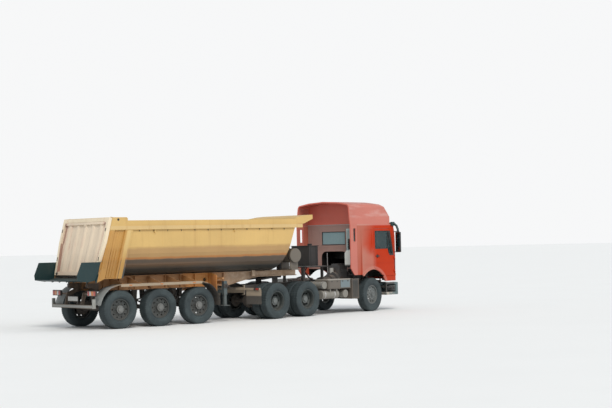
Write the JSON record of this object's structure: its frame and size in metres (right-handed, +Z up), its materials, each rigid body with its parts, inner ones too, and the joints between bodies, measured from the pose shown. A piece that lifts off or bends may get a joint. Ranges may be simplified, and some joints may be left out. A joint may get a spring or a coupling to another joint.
{
  "type": "articulated tipper lorry",
  "caption": "Articulated lorry with a high-roof tractor, and a half-pipe tipping bed with a chute and a top-hinged tailgate on a multi-axle trailer.",
  "frame": {"origin": "on the ground under the middle of the whole vehicle's bounding box", "axes": "+X forward along the trailer, +Y to the trailer's left, +Z up"},
  "size_m": [12.7506, 3.6101, 3.595],
  "materials": {
    "bed_yellow": "dusty light yellow paint",
    "gate_cream": "dusty cream paint",
    "trailer_frame": "dusty orange-brown paint",
    "running_gear": "dusty black",
    "mudguard": "dusty tan",
    "leg_grey": "dusty grey paint",
    "lamp_red": "dusty red lens",
    "tank_beige": "dusty beige paint",
    "hoist_barrel": "dusty dark grey paint",
    "hoist_tube": "polished",
    "tractor_frame": "dusty dark paint",
    "cab_red": "saturated red-orange, dusty",
    "roof_pink": "faded dusty red",
    "glass": "clear",
    "interior": "dark cloth",
    "intake_grey": "grey, ribbed",
    "trim_black": "black",
    "bumper_teal": "dark teal-grey",
    "lamp_clear": "clear lens",
    "engine_iron": "oily grey",
    "tank_metal": "dull metal",
    "box_tan": "dusty tan",
    "tyre": "dusty rubber",
    "rim_trailer": "brownish silver, dusty",
    "rim_tractor": "grey, dusty"
  },
  "bodies": {
    "trailer": {"trailer_chassis": "trailer_frame", "trailer_axles": "running_gear", "trailer_mudguards": "mudguard", "landing_legs": "leg_grey", "rear_lamps": "lamp_red", "front_tank": "tank_beige"},
    "bed": {"bed": "bed_yellow"},
    "tailgate": {"tailgate": "gate_cream"},
    "hoist_barrel": {"hoist_barrel": "hoist_barrel"},
    "hoist_stage_1": {"hoist_stage_1": "hoist_tube"},
    "hoist_stage_2": {"hoist_stage_2": "hoist_tube"},
    "hoist_stage_3": {"hoist_stage_3": "hoist_tube"},
    "hoist_stage_4": {"hoist_stage_4": "hoist_tube"},
    "tractor": {"tractor_chassis": "tractor_frame", "fifth_wheel": "running_gear", "drive_axles": "running_gear", "front_axle": "running_gear", "engine": "engine_iron", "fuel_tank": "tank_metal", "side_boxes": "box_tan", "air_tanks": "tank_beige", "oil_tank": "tractor_frame", "bumper": "bumper_teal", "headlamps": "lamp_clear"},
    "cab": {"cab_shell": "cab_red", "cab_roof": "roof_pink", "cab_glass": "glass", "cab_interior": "interior", "air_intake": "intake_grey", "mirrors": "trim_black"},
    "door_right": {"door_right": "cab_red", "door_glass_right": "glass"},
    "door_left": {"door_left": "cab_red", "door_glass_left": "glass"},
    "knuckle_right": {"knuckle_right": "running_gear"},
    "knuckle_left": {"knuckle_left": "running_gear"},
    "wheel_trailer_1_right": {"tyre_trailer_1_right": "tyre", "rim_trailer_1_right": "rim_trailer"},
    "wheel_trailer_1_left": {"tyre_trailer_1_left": "tyre", "rim_trailer_1_left": "rim_trailer"},
    "wheel_trailer_2_right": {"tyre_trailer_2_right": "tyre", "rim_trailer_2_right": "rim_trailer"},
    "wheel_trailer_2_left": {"tyre_trailer_2_left": "tyre", "rim_trailer_2_left": "rim_trailer"},
    "wheel_trailer_3_right": {"tyre_trailer_3_right": "tyre", "rim_trailer_3_right": "rim_trailer"},
    "wheel_trailer_3_left": {"tyre_trailer_3_left": "tyre", "rim_trailer_3_left": "rim_trailer"},
    "wheels_drive_1_right": {"tyres_drive_1_right": "tyre", "rims_drive_1_right": "rim_tractor"},
    "wheels_drive_1_left": {"tyres_drive_1_left": "tyre", "rims_drive_1_left": "rim_tractor"},
    "wheels_drive_2_right": {"tyres_drive_2_right": "tyre", "rims_drive_2_right": "rim_tractor"},
    "wheels_drive_2_left": {"tyres_drive_2_left": "tyre", "rims_drive_2_left": "rim_tractor"},
    "wheel_front_right": {"tyre_front_right": "tyre", "rim_front_right": "rim_tractor"},
    "wheel_front_left": {"tyre_front_left": "tyre", "rim_front_left": "rim_tractor"}
  },
  "joints": [
    {"name": "tractor_turn", "type": "hinge", "parent": "trailer", "child": "tractor", "pos_m": [1.045, -0.405, 1.227], "axis": [0, 0, 1], "range_deg": [-69, 51]},
    {"name": "bed_tip", "type": "hinge", "parent": "trailer", "child": "bed", "pos_m": [-5.605, -0.405, 1.215], "axis": [0, -1, 0], "range_deg": [0, 42]},
    {"name": "tailgate_swing", "type": "hinge", "parent": "bed", "child": "tailgate", "pos_m": [-5.06337, -0.405, 3.03642], "axis": [0, 1, 0], "range_deg": [0, 75]},
    {"name": "hoist_lean", "type": "hinge", "parent": "trailer", "child": "hoist_barrel", "pos_m": [1.565, -0.405, 1.345], "axis": [0, -1, 0], "range_deg": [0, 26.74]},
    {"name": "hoist_slide_1", "type": "slide", "parent": "hoist_barrel", "child": "hoist_stage_1", "axis": [0, 0, 1], "range_m": [0, 1.2677]},
    {"name": "hoist_slide_2", "type": "slide", "parent": "hoist_stage_1", "child": "hoist_stage_2", "axis": [0, 0, 1], "range_m": [0, 1.2677]},
    {"name": "hoist_slide_3", "type": "slide", "parent": "hoist_stage_2", "child": "hoist_stage_3", "axis": [0, 0, 1], "range_m": [0, 1.2677]},
    {"name": "hoist_slide_4", "type": "slide", "parent": "hoist_stage_3", "child": "hoist_stage_4", "axis": [0, 0, 1], "range_m": [0, 1.2677]},
    {"name": "cab_tilt", "type": "hinge", "parent": "tractor", "child": "cab", "pos_m": [6.09703, 0.39516, 0.94], "axis": [-0.1564, 0.9877, 0], "range_deg": [0, 55]},
    {"name": "door_right_swing", "type": "hinge", "parent": "cab", "child": "door_right", "pos_m": [6.11359, -0.81211, 1.5], "axis": [0, 0, 1], "range_deg": [0, 70]},
    {"name": "door_left_swing", "type": "hinge", "parent": "cab", "child": "door_left", "pos_m": [5.73971, 1.54846, 1.5], "axis": [0, 0, -1], "range_deg": [0, 70]},
    {"name": "steer_right", "type": "hinge", "parent": "tractor", "child": "knuckle_right", "pos_m": [4.93925, -0.66906, 0.542], "axis": [0, 0, 1], "range_deg": [-45, 35]},
    {"name": "steer_left", "type": "hinge", "parent": "tractor", "child": "knuckle_left", "pos_m": [4.66706, 1.04952, 0.542], "axis": [0, 0, 1], "range_deg": [-45, 35]},
    {"name": "spin_trailer_1_right", "type": "hinge", "parent": "trailer", "child": "wheel_trailer_1_right", "pos_m": [-2.335, -1.435, 0.536], "axis": [0, 1, 0], "continuous": true},
    {"name": "spin_trailer_1_left", "type": "hinge", "parent": "trailer", "child": "wheel_trailer_1_left", "pos_m": [-2.335, 0.625, 0.536], "axis": [0, 1, 0], "continuous": true},
    {"name": "spin_trailer_2_right", "type": "hinge", "parent": "trailer", "child": "wheel_trailer_2_right", "pos_m": [-3.667, -1.435, 0.536], "axis": [0, 1, 0], "continuous": true},
    {"name": "spin_trailer_2_left", "type": "hinge", "parent": "trailer", "child": "wheel_trailer_2_left", "pos_m": [-3.667, 0.625, 0.536], "axis": [0, 1, 0], "continuous": true},
    {"name": "spin_trailer_3_right", "type": "hinge", "parent": "trailer", "child": "wheel_trailer_3_right", "pos_m": [-4.999, -1.435, 0.536], "axis": [0, 1, 0], "continuous": true},
    {"name": "spin_trailer_3_left", "type": "hinge", "parent": "trailer", "child": "wheel_trailer_3_left", "pos_m": [-4.999, 0.625, 0.536], "axis": [0, 1, 0], "continuous": true},
    {"name": "spin_drive_1_right", "type": "hinge", "parent": "tractor", "child": "wheels_drive_1_right", "pos_m": [1.76829, -1.20014, 0.542], "axis": [-0.1564, 0.9877, 0], "continuous": true},
    {"name": "spin_drive_1_left", "type": "hinge", "parent": "tractor", "child": "wheels_drive_1_left", "pos_m": [1.48718, 0.57473, 0.542], "axis": [-0.1564, 0.9877, 0], "continuous": true},
    {"name": "spin_drive_2_right", "type": "hinge", "parent": "tractor", "child": "wheels_drive_2_right", "pos_m": [0.41516, -1.41446, 0.542], "axis": [-0.1564, 0.9877, 0], "continuous": true},
    {"name": "spin_drive_2_left", "type": "hinge", "parent": "tractor", "child": "wheels_drive_2_left", "pos_m": [0.13405, 0.36042, 0.542], "axis": [-0.1564, 0.9877, 0], "continuous": true},
    {"name": "spin_front_right", "type": "hinge", "parent": "knuckle_right", "child": "wheel_front_right", "pos_m": [4.97131, -0.79762, 0.542], "axis": [-0.2419, 0.9703, 0], "continuous": true},
    {"name": "spin_front_left", "type": "hinge", "parent": "knuckle_left", "child": "wheel_front_left", "pos_m": [4.635, 1.17809, 0.542], "axis": [-0.2419, 0.9703, 0], "continuous": true}
  ],
  "couplings": [
    {"joint": "hoist_lean", "follows": "bed_tip", "ratio": 0.63556},
    {"joint": "hoist_slide_1", "follows": "bed_tip", "m_per_rad": 1.728},
    {"joint": "hoist_slide_2", "follows": "bed_tip", "m_per_rad": 1.728},
    {"joint": "hoist_slide_3", "follows": "bed_tip", "m_per_rad": 1.728},
    {"joint": "hoist_slide_4", "follows": "bed_tip", "m_per_rad": 1.728},
    {"joint": "steer_left", "follows": "steer_right", "ratio": 1}
  ]
}
